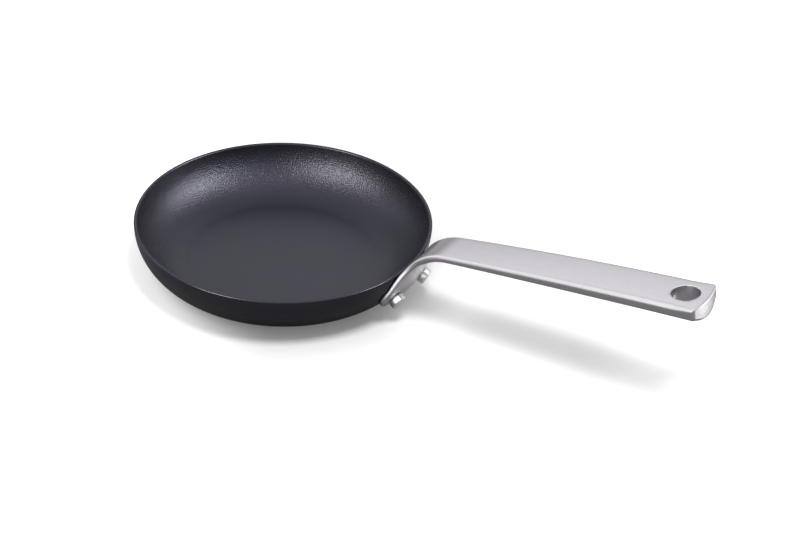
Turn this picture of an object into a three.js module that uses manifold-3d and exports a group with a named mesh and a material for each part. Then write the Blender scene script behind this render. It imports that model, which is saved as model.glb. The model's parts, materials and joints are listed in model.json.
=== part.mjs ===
// A small frying pan: a coated aluminium pan, a steel base disc pressed into its underside,
// and a cast steel handle whose flange lies along the wall, held by two rivets.
// Millimetres, +Z up. The origin is on the pan's axis at the table, and the handle points along +X.
import * as THREE from "three";
import { mergeVertices } from "three/addons/utils/BufferGeometryUtils.js";
import Module from "manifold-3d";

// Pan
const rimDiameter = 204; // outside of the rim
const baseDiameter = 130.8; // where the curved wall meets the flat underside
const panHeight = 36.8; // table to the top of the rim
const wallThickness = 2.4; // at the rim
const floorThickness = 3.8; // aluminium above the base disc
const lipHeight = 0.9; // rounding over the top of the rim

// Base disc
const discInset = 7.4; // from the edge of the flat underside to the disc
const discThickness = 1.2;
const discProud = 0.3; // how far it stands below the aluminium
const discClearance = 0.3; // around its edge
const discChamfer = 0.3;
const grooveCount = 3; // rings turned into its underside
const grooveWidth = 1.6;
const grooveDepth = 0.4;
const innerGrooveDiameter = 40;

// Rivets
const rivetSpacing = 34.4; // across the two axes
const rivetDrop = 17.8; // from the rim down to the axis, on the outer wall
const shankDiameter = 6;
const outerHeadDiameter = 11.2;
const outerHeadHeight = 4.6;
const outerHeadRounding = 1.3;
const innerHeadDiameter = 12.5;
const innerHeadEdge = 0.6; // height of its rim
const innerHeadCrown = 0.6; // rise of its middle above the rim
const rivetClearance = 0.3;

// Handle flange, which lies along the outer wall
const flangeThickness = 3.3;
const flangeWidth = 60.8; // across its lower edge, before the corners are rounded
const flangeCornerRadius = 7;
const flangeLap = 1.5; // from the rivet holes to its lower edge, along the wall
const flangeClearance = 0.3; // to the wall
const flangeEdgeRadius = 0.6; // beside the wall
const flangeOuterRadius = 2.2; // of its outer edges
const flareStart = 5; // from the lower edge up to where the flange starts to narrow
const flareLength = 38; // from there up to the parallel neck
const flarePower = 1.6; // how much of the narrowing comes early
const liftOffDrop = 7; // below the rim, where the flange leaves the wall
const lowerSweep = 8; // pull of the sweep along the wall
const upperSweep = 23; // pull of the sweep along the strap
const thickeningPace = 1.5; // how much sooner than it lifts the sweep grows thick

// Handle strap
const neckReach = 30; // rim to the start of the strap
const neckRise = 23.6; // top of the strap there, above the rim
const handleReach = 210.5; // rim to the corners of the handle's end
const endRise = 48.1; // top of the strap there, above the rim
const handleArch = 1.25; // crown of the strap along its length
const neckWidth = 29.3;
const endWidth = 37;
const sideBulge = 0.4; // how far each side swells out half way along the strap
const neckThickness = 5.6; // at the strap's edges
const endThickness = 9.4;
const midThickness = 0.45; // extra depth half way along
const topCrown = 0.25; // rise of the top face between its edges
const neckBelly = 0.6; // extra depth under the middle
const endBelly = 4.2;
const neckTopRadius = 3;
const endTopRadius = 3.8;
const tipTopRadius = 2.2; // at the very end
const tipLength = 16; // length over which it tightens
const neckLowerRadius = 2;
const endLowerRadius = 3;
const endBow = 2.2; // bulge of the end between its corners
const bowLength = 24; // length over which the bulge grows
const endCornerRadius = 2.2; // seen from above
const endEdgeRadius = 1.4; // around the end face
const holeDiameter = 18.7; // hanging hole
const holeWall = 4.2; // from the hole's edge to the line of the end's corners
const holeEdgeRadius = 0.8;

// Fineness of the facets
const panSegments = 84;
const wallSteps = 12;
const lipSteps = 5;
const rivetSegments = 28;
const holeSegments = 48;
const flangeSteps = 12;
const sweepSteps = 18;
const strapSteps = 20;
const edgeSteps = 4;
const faceSteps = 10;
const cornerSteps = 5;
const edgeCrowding = 1.5; // draws the flange's stations closer to its lower edge
const smallestRadius = 0.1; // keeps a corner from closing to a point
const roundedShare = 0.94; // most of a side that its two roundings may take
const weldDistance = 1e-4;

const wasm = await Module();
wasm.setup();

const quarter = Math.PI / 2;
const rimRadius = rimDiameter / 2;
const baseRadius = baseDiameter / 2;
const sideReach = rimRadius - baseRadius;
const sideDepth = panHeight - discProud;
const floorLevel = discThickness + floorThickness;
const discRadius = baseRadius - discInset;

function mix(from, to, share) {
  return from + (to - from) * share;
}

function smooth(value) {
  const share = Math.min(Math.max(value, 0), 1);
  return share * share * (3 - 2 * share);
}

// How far a quarter-round edge of this radius draws in, at a distance from where it ends
function roundInset(radius, distance) {
  const left = Math.max(radius - distance, 0);
  return radius - Math.sqrt(radius * radius - left * left);
}

// Points of a quarter or half round: centre, half sizes, and the angles it runs through
function arcPoints(centreX, centreY, halfX, halfY, from, to, steps) {
  return Array.from({ length: steps + 1 }, (_, step) => {
    const angle = mix(from, to, step / steps);
    return new THREE.Vector2(centreX + halfX * Math.cos(angle), centreY + halfY * Math.sin(angle));
  });
}

// A body turned about +Z from an outline of (radius, height) that starts and ends on the axis
function turned(outline, segments) {
  return new THREE.LatheGeometry(outline, segments).rotateX(quarter);
}

// Booleans
function toSolid(geometry) {
  const bare = geometry.clone();
  bare.deleteAttribute("normal");
  bare.deleteAttribute("uv");
  const welded = mergeVertices(bare, weldDistance);
  const mesh = new wasm.Mesh({
    numProp: 3,
    vertProperties: new Float32Array(welded.attributes.position.array),
    triVerts: new Uint32Array(welded.index.array),
  });
  return new wasm.Manifold(mesh);
}

function toGeometry(solid) {
  const { vertProperties, triVerts } = solid.getMesh();
  const geometry = new THREE.BufferGeometry();
  geometry.setAttribute("position", new THREE.BufferAttribute(vertProperties, 3));
  geometry.setIndex(new THREE.BufferAttribute(triVerts, 1));
  geometry.computeVertexNormals();
  return geometry;
}

function cutFrom(geometry, cutters) {
  const whole = toSolid(geometry);
  return toGeometry(cutters.reduce((solid, cutter) => solid.subtract(toSolid(cutter)), whole));
}

// The outer wall is a quarter of an ellipse: angle 0 at the rim, a quarter turn at the base.
// The point is moved out of the wall by the offset, and the normal points away from the pan.
function wallNormal(angle) {
  return new THREE.Vector2(sideDepth * Math.cos(angle), -sideReach * Math.sin(angle)).normalize();
}

function wallPoint(angle, offset) {
  const onWall = new THREE.Vector2(
    baseRadius + sideReach * Math.cos(angle),
    panHeight - sideDepth * Math.sin(angle),
  );
  return onWall.addScaledVector(wallNormal(angle), offset);
}

function wallAngle(drop) {
  return Math.asin(drop / sideDepth);
}

// The inner wall is the same kind of curve, drawn in by the wall and raised by the floor
const innerReach = sideReach - wallThickness;
const innerDepth = panHeight - floorLevel;

// Wall thickness along its normal, where the normal meets the inner curve
function wallDepth(angle) {
  const start = wallPoint(angle, 0);
  const normal = wallNormal(angle);
  const across = (start.x - baseRadius) / innerReach;
  const down = (panHeight - start.y) / innerDepth;
  const stepAcross = -normal.x / innerReach;
  const stepDown = normal.y / innerDepth;
  const square = stepAcross ** 2 + stepDown ** 2;
  const middle = across * stepAcross + down * stepDown;
  const rest = across ** 2 + down ** 2 - 1;
  return (-middle - Math.sqrt(middle ** 2 - square * rest)) / square;
}

// Radius of the inner wall's curve from rim to floor at an angle
function innerCurveRadius(angle) {
  const stretch = (innerReach * Math.sin(angle)) ** 2 + (innerDepth * Math.cos(angle)) ** 2;
  return stretch ** 1.5 / (innerReach * innerDepth);
}

// Rivet axes: square to the wall, one on each side of the handle
const rivetAngle = wallAngle(rivetDrop);
const rivetWall = wallPoint(rivetAngle, 0);
const rivetTurn = Math.asin(rivetSpacing / 2 / rivetWall.x);
const rivetTilt = Math.atan2(wallNormal(rivetAngle).x, wallNormal(rivetAngle).y);
const rivetHoleRadius = shankDiameter / 2 + rivetClearance;
const headSeat = flangeClearance + flangeThickness + rivetClearance;
const rivetTip = headSeat + outerHeadHeight;
const innerSeat = wallDepth(rivetAngle) + rivetClearance;

// Places a piece whose own +Z is the rivet axis and whose origin is on the outer wall
function onRivetAxis(piece, side) {
  piece.rotation.y = rivetTilt;
  piece.position.set(rivetWall.x, 0, rivetWall.y);
  const turnedAround = new THREE.Group();
  turnedAround.rotation.z = side * rivetTurn;
  turnedAround.add(piece);
  turnedAround.updateMatrixWorld(true);
  return turnedAround;
}

function rivetHoles() {
  const reach = 2 * (rivetTip + innerSeat);
  return [-1, 1].map((side) => {
    const marker = new THREE.Object3D();
    onRivetAxis(marker, side);
    const drill = new THREE.CylinderGeometry(rivetHoleRadius, rivetHoleRadius, reach, rivetSegments);
    drill.rotateX(quarter);
    return drill.applyMatrix4(marker.matrixWorld);
  });
}

function panBody() {
  const lipAngle = wallAngle(lipHeight);
  const innerLipAngle = Math.asin(lipHeight / innerDepth);
  const lipLevel = panHeight - lipHeight;
  const lipMiddle = rimRadius - wallThickness / 2;
  const recessRadius = discRadius + discClearance;
  const outerWall = arcPoints(baseRadius, panHeight, sideReach, -sideDepth, quarter, lipAngle, wallSteps);
  const lip = arcPoints(lipMiddle, lipLevel, wallThickness / 2, lipHeight, 0, Math.PI, lipSteps + 1);
  const innerWall = arcPoints(
    baseRadius,
    panHeight,
    innerReach,
    -innerDepth,
    innerLipAngle,
    quarter,
    wallSteps,
  );
  const outline = [
    new THREE.Vector2(0, discThickness),
    new THREE.Vector2(recessRadius, discThickness),
    new THREE.Vector2(recessRadius, discProud),
    ...outerWall,
    ...lip.slice(1, -1),
    ...innerWall,
    new THREE.Vector2(0, floorLevel),
  ];
  return cutFrom(turned(outline, panSegments), rivetHoles());
}

function baseDisc() {
  const firstGroove = innerGrooveDiameter / 2;
  const spacing = (discRadius - firstGroove) / grooveCount;
  const outline = [new THREE.Vector2(0, 0)];
  for (let ring = 0; ring < grooveCount; ring += 1) {
    const middle = firstGroove + ring * spacing;
    outline.push(
      new THREE.Vector2(middle - grooveWidth / 2, 0),
      new THREE.Vector2(middle - grooveWidth / 4, grooveDepth),
      new THREE.Vector2(middle + grooveWidth / 4, grooveDepth),
      new THREE.Vector2(middle + grooveWidth / 2, 0),
    );
  }
  outline.push(
    new THREE.Vector2(discRadius - discChamfer, 0),
    new THREE.Vector2(discRadius, discChamfer),
    new THREE.Vector2(discRadius, discThickness),
    new THREE.Vector2(0, discThickness),
  );
  return turned(outline, panSegments);
}

// The pan as a full body, a clearance larger inside, seen from the rivet's own frame
function wallSeat() {
  const reach = innerReach - rivetClearance;
  const depth = innerDepth - rivetClearance;
  const outline = [
    new THREE.Vector2(0, 0),
    new THREE.Vector2(rimRadius, 0),
    new THREE.Vector2(rimRadius, panHeight),
    ...arcPoints(baseRadius, panHeight, reach, -depth, 0, quarter, wallSteps),
    new THREE.Vector2(0, panHeight - depth),
  ];
  const body = turned(outline, panSegments);
  return body.translate(-rivetWall.x, 0, -rivetWall.y).rotateY(-rivetTilt);
}

// A rivet along +Z, with 0 at the outer wall: a low head inside the pan, seated on the curved
// wall, the shank, and the tall formed head on the flange
function rivet() {
  const shank = shankDiameter / 2;
  const outerRadius = outerHeadDiameter / 2;
  const innerRadius = innerHeadDiameter / 2;
  const seatCurve = innerCurveRadius(rivetAngle);
  const seatHollow = seatCurve - Math.sqrt(seatCurve ** 2 - innerRadius ** 2);
  const edgeLevel = -innerSeat - seatHollow - innerHeadEdge;
  const innerHead = [
    ...arcPoints(0, edgeLevel, innerRadius, -innerHeadCrown, quarter, 0, cornerSteps),
    new THREE.Vector2(innerRadius, 0),
    new THREE.Vector2(0, 0),
  ];
  const shankAndOuterHead = [
    new THREE.Vector2(0, edgeLevel),
    new THREE.Vector2(shank, edgeLevel),
    new THREE.Vector2(shank, headSeat),
    new THREE.Vector2(outerRadius, headSeat),
    ...arcPoints(
      outerRadius - outerHeadRounding,
      rivetTip - outerHeadRounding,
      outerHeadRounding,
      outerHeadRounding,
      0,
      quarter,
      cornerSteps,
    ),
    new THREE.Vector2(0, rivetTip),
  ];
  const head = toSolid(turned(innerHead, rivetSegments)).subtract(toSolid(wallSeat()));
  return toGeometry(head.add(toSolid(turned(shankAndOuterHead, rivetSegments))));
}

// Ends of the strap's top face
const neckX = rimRadius + neckReach;
const neckTop = panHeight + neckRise;
const endX = rimRadius + handleReach;
const endTop = panHeight + endRise;

// Angles along the wall from the flange's lower edge to where it lifts off, closer at the edge
function flangeAngles() {
  const wallCentre = new THREE.Vector2(baseRadius, panHeight);
  const lowest = rivetAngle + (rivetHoleRadius + flangeLap) / rivetWall.distanceTo(wallCentre);
  const highest = wallAngle(liftOffDrop);
  return Array.from({ length: flangeSteps + 1 }, (_, step) => {
    return mix(lowest, highest, (step / flangeSteps) ** edgeCrowding);
  });
}

// Top of the strap: a straight rise with a shallow crown
function strapPoint(share) {
  const crown = 4 * handleArch * share * (1 - share);
  return new THREE.Vector2(mix(neckX, endX, share), mix(neckTop, endTop, share) + crown);
}

// The handle's top face runs from the flange's lower edge, up along the wall, over a sweep and
// out along the strap. Each station holds its place, its way along and how far along it lies.
function handleSpine() {
  const wallCurve = flangeAngles().map((angle) => wallPoint(angle, flangeClearance));
  const liftOff = wallCurve.at(-1);
  const wallWay = liftOff.clone().sub(wallCurve.at(-2)).normalize();
  const strapWay = strapPoint(1 / strapSteps).sub(strapPoint(0)).normalize();
  const sweep = new THREE.CubicBezierCurve(
    liftOff,
    liftOff.clone().addScaledVector(wallWay, lowerSweep),
    strapPoint(0).addScaledVector(strapWay, -upperSweep),
    strapPoint(0),
  );
  const strapShares = [];
  const edgeShare = Math.max(endEdgeRadius, endCornerRadius) / (handleReach - neckReach);
  for (let step = 1; step <= strapSteps; step += 1) {
    strapShares.push((step / strapSteps) * (1 - edgeShare));
  }
  for (let step = 1; step <= edgeSteps; step += 1) {
    strapShares.push(1 - edgeShare * (1 - Math.sin((quarter * step) / edgeSteps)));
  }
  const sweepPoints = sweep.getPoints(sweepSteps).slice(1);
  const points = [...wallCurve, ...sweepPoints, ...strapShares.map(strapPoint)];
  let along = 0;
  return points.map((point, index) => {
    const before = points[Math.max(index - 1, 0)];
    const after = points[Math.min(index + 1, points.length - 1)];
    along += point.distanceTo(before);
    return { point, way: after.clone().sub(before).normalize(), along };
  });
}

// Outline of the handle across its length: side is the place across it, and depth is measured
// from the top face down to the under side. It runs once around and never closes on itself.
function crossSection({ halfWidth, thickness, belly, crown, topRadius, lowerRadius, inset }) {
  const half = halfWidth - inset;
  const floor = thickness - inset;
  const room = Math.min(1, (roundedShare * (thickness - crown)) / (topRadius + lowerRadius));
  const top = Math.max(topRadius * room - inset, smallestRadius);
  const lower = Math.max(lowerRadius * room - inset, smallestRadius);
  const right = [];
  for (let step = 1; step <= cornerSteps; step += 1) {
    const angle = (quarter * step) / cornerSteps;
    right.push([half - top + top * Math.sin(angle), inset + crown + top - top * Math.cos(angle)]);
  }
  for (let step = 0; step <= cornerSteps; step += 1) {
    const angle = (quarter * step) / cornerSteps;
    right.push([half - lower + lower * Math.cos(angle), floor - lower + lower * Math.sin(angle)]);
  }
  const face = Array.from({ length: faceSteps + 1 }, (_, step) => mix(-1, 1, step / faceSteps));
  const upperFace = face.map((share) => [share * (half - top), inset + crown * share * share]);
  const lowerFace = face
    .slice(1, -1)
    .reverse()
    .map((share) => [share * (half - lower), floor + belly * (1 - share * share)]);
  const left = right.map(([side, depth]) => [-side, depth]).reverse();
  return [...upperFace, ...right, ...lowerFace, ...left];
}

// Sizes of the handle at one station
function handleSizes(along, liftOffAlong, neckAlong, length) {
  const lifted = smooth((along - liftOffAlong) / (neckAlong - liftOffAlong));
  const outward = Math.max((along - neckAlong) / (length - neckAlong), 0);
  const toEnd = length - along;
  const flare = (1 - smooth((along - flareStart) / flareLength)) ** flarePower;
  const swell = 4 * sideBulge * outward * (1 - outward);
  const flangeHalf = ((flangeWidth - neckWidth) / 2) * flare;
  const corners = roundInset(flangeCornerRadius, along) + roundInset(endCornerRadius, toEnd);
  const thickened = Math.min(thickeningPace * lifted, 1);
  const sweepThickness = mix(flangeThickness, neckThickness, thickened);
  const midDepth = 4 * midThickness * outward * (1 - outward);
  const strapThickness = mix(neckThickness, endThickness, outward) + midDepth;
  const strapTop = mix(neckTopRadius, endTopRadius, outward);
  const strapTopToTip = mix(strapTop, tipTopRadius, smooth(1 - toEnd / tipLength));
  const strapLower = mix(neckLowerRadius, endLowerRadius, outward);
  return {
    lifted,
    bow: endBow * Math.max(1 - toEnd / bowLength, 0) ** 2,
    halfWidth: mix(neckWidth, endWidth, outward) / 2 + swell + flangeHalf - corners,
    thickness: outward > 0 ? strapThickness : sweepThickness,
    belly: outward > 0 ? mix(neckBelly, endBelly, outward) : neckBelly * lifted,
    crown: topCrown * lifted,
    topRadius: mix(flangeEdgeRadius, strapTopToTip, thickened),
    lowerRadius: mix(flangeOuterRadius, strapLower, lifted),
    inset: roundInset(flangeEdgeRadius, along) + roundInset(endEdgeRadius, toEnd),
  };
}

// Skins a row of closed outlines, and closes both ends by joining each point of the upper side
// to the point below it
function loft(rings) {
  const count = rings[0].length;
  const positions = rings.flat().flatMap((point) => point.toArray());
  const faces = [];
  const addQuad = (first, second, third, fourth) => {
    faces.push(first, second, third, first, third, fourth);
  };
  for (let ring = 0; ring + 1 < rings.length; ring += 1) {
    const here = ring * count;
    const there = here + count;
    for (let index = 0; index < count; index += 1) {
      const next = (index + 1) % count;
      addQuad(here + index, there + index, there + next, here + next);
    }
  }
  const last = (rings.length - 1) * count;
  for (let step = 0; step + 1 < count / 2; step += 1) {
    const upper = (count - cornerSteps + step) % count;
    const upperNext = (upper + 1) % count;
    const lower = count - cornerSteps - 1 - step;
    addQuad(upper, upperNext, lower - 1, lower);
    addQuad(last + upper, last + lower, last + lower - 1, last + upperNext);
  }
  const geometry = new THREE.BufferGeometry();
  geometry.setAttribute("position", new THREE.Float32BufferAttribute(positions, 3));
  geometry.setIndex(faces);
  return geometry;
}

// Hanging hole: a straight bore square to the strap, with its upper edge rounded over
function hangingHole() {
  const radius = holeDiameter / 2;
  const share = 1 - (radius + holeWall) / (handleReach - neckReach);
  const middle = strapPoint(share);
  const way = strapPoint(1).sub(strapPoint(share)).normalize();
  const outline = [
    new THREE.Vector2(0, -2 * (endThickness + endBelly)),
    new THREE.Vector2(radius, -2 * (endThickness + endBelly)),
    ...arcPoints(
      radius + holeEdgeRadius,
      -holeEdgeRadius,
      -holeEdgeRadius,
      holeEdgeRadius,
      0,
      quarter,
      cornerSteps,
    ),
    new THREE.Vector2(radius + holeEdgeRadius, holeEdgeRadius),
    new THREE.Vector2(0, holeEdgeRadius),
  ];
  const bore = turned(outline, holeSegments);
  bore.rotateY(-Math.atan2(way.y, way.x));
  return bore.translate(middle.x, 0, middle.y);
}

function handle() {
  const spine = handleSpine();
  const liftOffAlong = spine[flangeSteps].along;
  const neckAlong = spine[flangeSteps + sweepSteps].along;
  const length = spine.at(-1).along;
  const rings = spine.map(({ point, way, along }) => {
    const sizes = handleSizes(along, liftOffAlong, neckAlong, length);
    const under = new THREE.Vector2(way.y, -way.x);
    const wrap = 1 - sizes.lifted;
    return crossSection(sizes).map(([side, depth]) => {
      const turn = side / point.x;
      const bulge = sizes.bow * (1 - (side / sizes.halfWidth) ** 2);
      const across = depth * under.x;
      return new THREE.Vector3(
        mix(point.x, point.x * Math.cos(turn), wrap) + across * Math.cos(wrap * turn) + bulge * way.x,
        mix(side, point.x * Math.sin(turn), wrap) + across * Math.sin(wrap * turn),
        point.y + depth * under.y + bulge * way.y,
      );
    });
  });
  return cutFrom(loft(rings), [hangingHole(), ...rivetHoles()]);
}

const finishes = {
  coating: new THREE.MeshStandardMaterial({ color: "#2f2e32", roughness: 0.55, metalness: 0.1 }),
  discSteel: new THREE.MeshStandardMaterial({ color: "#b9b9b8", roughness: 0.4, metalness: 1 }),
  handleSteel: new THREE.MeshStandardMaterial({ color: "#cfcdcf", roughness: 0.35, metalness: 1 }),
  rivetMetal: new THREE.MeshStandardMaterial({ color: "#d6d6d8", roughness: 0.3, metalness: 1 }),
};

function named(name, geometry, material) {
  const mesh = new THREE.Mesh(geometry, material);
  mesh.name = name;
  return mesh;
}

const fryingPan = new THREE.Group();
fryingPan.add(named("pan_body", panBody(), finishes.coating));
fryingPan.add(named("base_disc", baseDisc(), finishes.discSteel));
fryingPan.add(named("handle", handle(), finishes.handleSteel));
fryingPan.add(onRivetAxis(named("rivet_left", rivet(), finishes.rivetMetal), -1));
fryingPan.add(onRivetAxis(named("rivet_right", rivet(), finishes.rivetMetal), 1));

export default fryingPan;
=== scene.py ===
import bpy
import bmesh
import json
import math
from mathutils import Matrix, Vector

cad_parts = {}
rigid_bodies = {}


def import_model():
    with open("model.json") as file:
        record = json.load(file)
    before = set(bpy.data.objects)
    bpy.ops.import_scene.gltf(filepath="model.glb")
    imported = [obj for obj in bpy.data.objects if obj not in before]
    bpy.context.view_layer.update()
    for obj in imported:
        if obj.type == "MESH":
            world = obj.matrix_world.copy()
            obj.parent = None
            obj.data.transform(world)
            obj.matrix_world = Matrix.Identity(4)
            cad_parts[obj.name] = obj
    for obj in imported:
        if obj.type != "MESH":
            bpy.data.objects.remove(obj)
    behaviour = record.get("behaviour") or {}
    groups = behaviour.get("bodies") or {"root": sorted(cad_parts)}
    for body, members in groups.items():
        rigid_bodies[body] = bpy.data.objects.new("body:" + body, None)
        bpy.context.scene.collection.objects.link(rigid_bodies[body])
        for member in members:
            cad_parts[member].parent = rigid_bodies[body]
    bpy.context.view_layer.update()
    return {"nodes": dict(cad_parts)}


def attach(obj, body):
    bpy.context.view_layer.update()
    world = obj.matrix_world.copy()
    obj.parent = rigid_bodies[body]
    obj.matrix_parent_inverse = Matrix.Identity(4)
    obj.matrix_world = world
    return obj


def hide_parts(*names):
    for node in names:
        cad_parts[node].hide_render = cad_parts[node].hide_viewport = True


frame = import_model()
print("frame loaded:", ", ".join(sorted(frame["nodes"])))

mm = 0.001  # sizes below are in millimetres
quarter = math.pi / 2
creaseAngle = 32  # degrees, edges flatter than this are shaded smooth


# Small helpers

def deselectAll():
    if bpy.context.mode != "OBJECT":
        bpy.ops.object.mode_set(mode="OBJECT")
    bpy.ops.object.select_all(action="DESELECT")


def pick(piece):
    deselectAll()
    piece.select_set(True)
    bpy.context.view_layer.objects.active = piece


def between(start, end, share):
    return start + (end - start) * share


def ease(value):
    share = min(max(value, 0), 1)
    return share * share * (3 - 2 * share)


# How far a rounded edge draws in, at a distance from where it ends
def roundInset(radius, distance):
    left = max(radius - distance, 0)
    return radius - math.sqrt(radius * radius - left * left)


def arc(centre, halfSizes, start, end, steps):
    angles = [between(start, end, step / steps) for step in range(steps + 1)]
    return [
        (centre[0] + halfSizes[0] * math.cos(angle), centre[1] + halfSizes[1] * math.sin(angle))
        for angle in angles
    ]


# Draws the picked last loop of a piece together, then its first loop
def closeEnds(piece, segments):
    bpy.ops.mesh.merge(type="CENTER")
    bpy.ops.mesh.select_all(action="DESELECT")
    mesh = bmesh.from_edit_mesh(piece.data)
    mesh.verts.ensure_lookup_table()
    for vert in mesh.verts[:segments]:
        vert.select_set(True)
    mesh.select_flush(True)
    bpy.ops.mesh.merge(type="CENTER")
    bpy.ops.mesh.select_all(action="SELECT")
    bpy.ops.mesh.normals_make_consistent(inside=False)
    bpy.ops.object.mode_set(mode="OBJECT")


# A ring is added at the first size of the profile and drawn out loop by loop, as on a lathe
def turnPiece(name, profile, segments):
    deselectAll()
    radius, height = profile[0]
    bpy.ops.mesh.primitive_circle_add(
        vertices=segments, radius=radius * mm, fill_type="NOTHING", enter_editmode=True)
    piece = bpy.context.object
    piece.name = name
    bpy.ops.transform.translate(value=(0, 0, height * mm))
    for nextRadius, nextHeight in profile[1:]:
        rise = (nextHeight - height) * mm
        grow = nextRadius / radius
        bpy.ops.mesh.extrude_region_move(TRANSFORM_OT_translate={"value": (0, 0, rise)})
        bpy.ops.transform.resize(value=(grow, grow, 1), center_override=(0, 0, nextHeight * mm))
        radius, height = nextRadius, nextHeight
    closeEnds(piece, segments)
    return piece


# Turns and moves a piece, and leaves its object at the origin with the place in its mesh
def settle(piece, matrix):
    pick(piece)
    piece.matrix_world = matrix
    bpy.ops.object.transform_apply(location=True, rotation=True, scale=True)
    return piece


def copyOf(piece, name):
    other = piece.copy()
    other.data = piece.data.copy()
    other.name = name
    bpy.context.scene.collection.objects.link(other)
    return other


def combine(piece, cutter, operation):
    pick(piece)
    bpy.ops.object.modifier_add(type="BOOLEAN")
    step = piece.modifiers[-1]
    step.operation = operation
    step.solver = "EXACT"
    step.object = cutter
    bpy.ops.object.modifier_apply(modifier=step.name)


def discard(piece):
    bpy.data.objects.remove(piece)


def smoothUp(piece, degrees):
    pick(piece)
    bpy.ops.object.shade_smooth_by_angle(angle=math.radians(degrees))


# Materials

def linear(hexText):
    parts = [int(hexText[index:index + 2], 16) / 255 for index in (1, 3, 5)]
    return [c / 12.92 if c <= 0.04045 else ((c + 0.055) / 1.055) ** 2.4 for c in parts] + [1]


# Adds a node, sets its settings and its plain inputs, and links the rest
def addNode(tree, kind, values=None, links=None, **settings):
    node = tree.nodes.new(kind)
    for key, value in settings.items():
        setattr(node, key, value)
    for key, value in (values or {}).items():
        node.inputs[key].default_value = value
    for key, socket in (links or {}).items():
        tree.links.new(socket, node.inputs[key])
    return node


def newMaterial(name):
    material = bpy.data.materials.new(name)
    material.use_nodes = True
    material.node_tree.nodes.clear()
    return material, material.node_tree


# The inputs that carry one span of values over to another
def spans(source, target=(0, 1)):
    return {"From Min": source[0], "From Max": source[1], "To Min": target[0], "To Max": target[1]}


noiseSpan = (0.3, 0.7)  # most of what a noise gives

coatingLook = {
    "insideColour": "#1a1a22",
    "insideDarker": "#14141a",
    "outsideColour": "#1b1b1f",
    "sheen": (0.76, 0.75, 1, 1),  # tint of its reflections, a cold grey
    "insideIor": 1.53,
    "outsideIor": 1.45,
    "wallRoughness": 0.34,
    "floorRoughness": 0.4,
    "outsideRoughness": (0.36, 0.42),
    "lipRoughness": (0.24, 0.3),
    "pebble": 0.85,  # grains of the sprayed inside coat, drawn about twice as coarse to show
    "pebbleDepth": 0.4,
    "grit": 0.55,  # finer grit between them
    "gritShare": 0.2,
    "grainHeights": (5.2, 12),  # between these the floor's low grain grows to the wall's
    "grainGrowth": (0.2, 1),
    "mottle": 28,  # slow change of tone over the floor
    "outsideGrain": 0.5,
    "outsideGrainDepth": 0.01,
    "outsideGrainStrength": 0.5,
}


# PTFE non-stick coat, sprayed in layers over blasted aluminium: dead black with a soft sheen,
# pebbled on the wall so that highlights break into specks, smoother on the flat floor
def insideCoating(look):
    material, tree = newMaterial("sprayedPtfeCoat")
    coords = addNode(tree, "ShaderNodeTexCoord").outputs["Object"]
    height = addNode(tree, "ShaderNodeSeparateXYZ", links={0: coords}).outputs["Z"]
    pebble = addNode(
        tree, "ShaderNodeTexNoise",
        {"Scale": 1 / (look["pebble"] * mm), "Detail": 1}, {"Vector": coords})
    grit = addNode(
        tree, "ShaderNodeTexNoise",
        {"Scale": 1 / (look["grit"] * mm), "Detail": 1}, {"Vector": coords})
    mottle = addNode(
        tree, "ShaderNodeTexNoise",
        {"Scale": 1 / (look["mottle"] * mm), "Detail": 3}, {"Vector": coords})
    grains = addNode(
        tree, "ShaderNodeMath", {1: 1 - look["gritShare"]}, {0: pebble.outputs[0]},
        operation="MULTIPLY")
    surface = addNode(
        tree, "ShaderNodeMath", {1: look["gritShare"]}, {0: grit.outputs[0], 2: grains.outputs[0]},
        operation="MULTIPLY_ADD")
    heights = [level * mm for level in look["grainHeights"]]
    wallShare = addNode(
        tree, "ShaderNodeMapRange", spans(heights, look["grainGrowth"]), {"Value": height},
        interpolation_type="SMOOTHSTEP")
    bump = addNode(
        tree, "ShaderNodeBump", {"Distance": look["pebbleDepth"] * mm},
        {"Strength": wallShare.outputs[0], "Height": surface.outputs[0]})
    tone = addNode(
        tree, "ShaderNodeMix",
        {6: linear(look["insideDarker"]), 7: linear(look["insideColour"])}, {0: mottle.outputs[0]},
        data_type="RGBA")
    gloss = addNode(
        tree, "ShaderNodeMapRange",
        spans(look["grainGrowth"], (look["floorRoughness"], look["wallRoughness"])),
        {"Value": wallShare.outputs[0]})
    shader = addNode(
        tree, "ShaderNodeBsdfPrincipled", {"IOR": look["insideIor"], "Specular Tint": look["sheen"]},
        {"Base Color": tone.outputs[2], "Roughness": gloss.outputs[0], "Normal": bump.outputs[0]})
    addNode(tree, "ShaderNodeOutputMaterial", links={"Surface": shader.outputs[0]})
    return material


# The same coat on the outside, sprayed thinner: an even, smooth satin black
def outsideCoating(look):
    material, tree = newMaterial("satinBlackCoat")
    coords = addNode(tree, "ShaderNodeTexCoord").outputs["Object"]
    grain = addNode(
        tree, "ShaderNodeTexNoise", {"Scale": 1 / (look["outsideGrain"] * mm), "Detail": 2},
        {"Vector": coords})
    bump = addNode(
        tree, "ShaderNodeBump",
        {"Distance": look["outsideGrainDepth"] * mm, "Strength": look["outsideGrainStrength"]},
        {"Height": grain.outputs[0]})
    gloss = addNode(
        tree, "ShaderNodeMapRange", spans(noiseSpan, look["outsideRoughness"]),
        {"Value": grain.outputs[0]})
    shader = addNode(
        tree, "ShaderNodeBsdfPrincipled", {
            "Base Color": linear(look["outsideColour"]),
            "IOR": look["outsideIor"],
            "Specular Tint": look["sheen"],
        }, {"Roughness": gloss.outputs[0], "Normal": bump.outputs[0]})
    addNode(tree, "ShaderNodeOutputMaterial", links={"Surface": shader.outputs[0]})
    return material


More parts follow.
